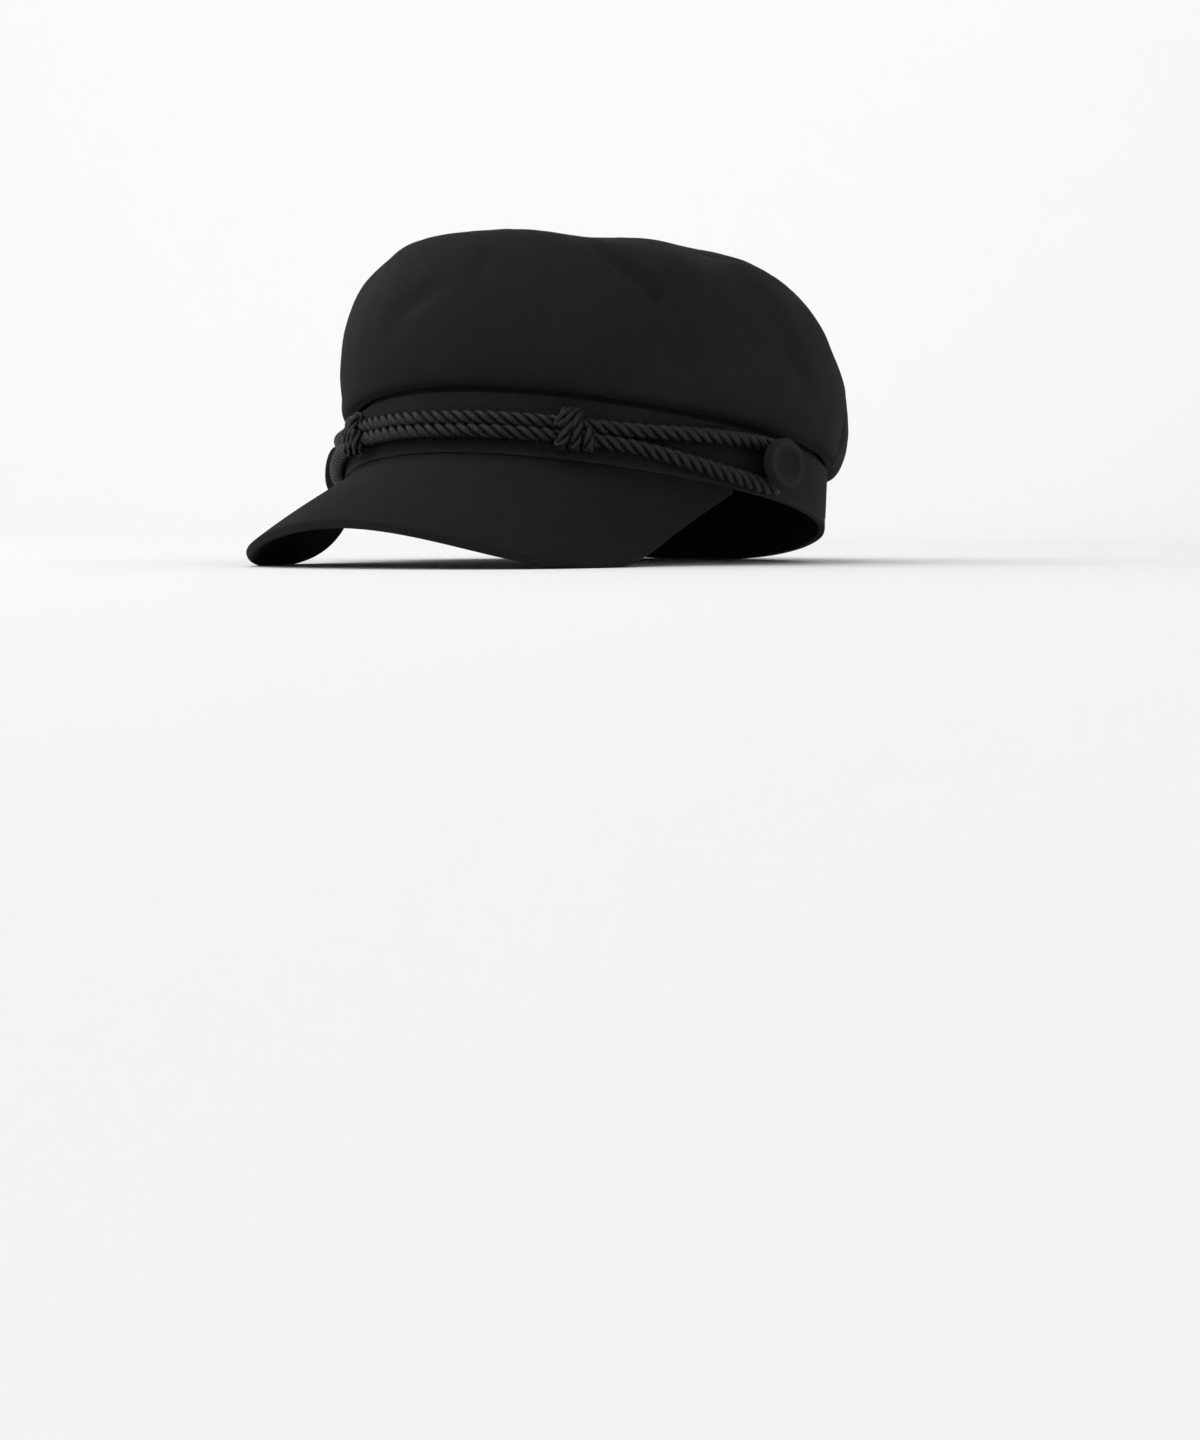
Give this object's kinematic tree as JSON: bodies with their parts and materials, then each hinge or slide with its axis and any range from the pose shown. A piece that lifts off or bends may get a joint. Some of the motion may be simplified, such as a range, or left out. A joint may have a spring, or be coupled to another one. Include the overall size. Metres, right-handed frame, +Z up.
{
  "type": "captain hat",
  "caption": "Soft captain's cap of dark cloth: full crown over an upright band, curved stiff peak, and a twisted cord with sliding knots held by covered side buttons.",
  "frame": {"origin": "on the surface that the cap rests on, below the middle of its bounding box", "axes": "+Z up, the cap faces -Y with its peak, +X is the wearer's left, +Y runs from the peak to the back of the crown"},
  "size_m": [0.1896, 0.2652, 0.1117],
  "materials": {
    "crown_cloth": "matt plain-woven dark cloth",
    "peak_cloth": "matt plain-woven dark cloth over a stiff core",
    "cord_yarn": "twisted yarn with a soft sheen",
    "button_cloth": "matt cloth over a flat button"
  },
  "bodies": {
    "root": {"crown_side": "crown_cloth", "crown_top": "crown_cloth", "band": "crown_cloth", "peak": "peak_cloth", "cord": "cord_yarn", "knot_left": "cord_yarn", "knot_right": "cord_yarn", "button_left": "button_cloth", "button_right": "button_cloth"}
  },
  "joints": []
}
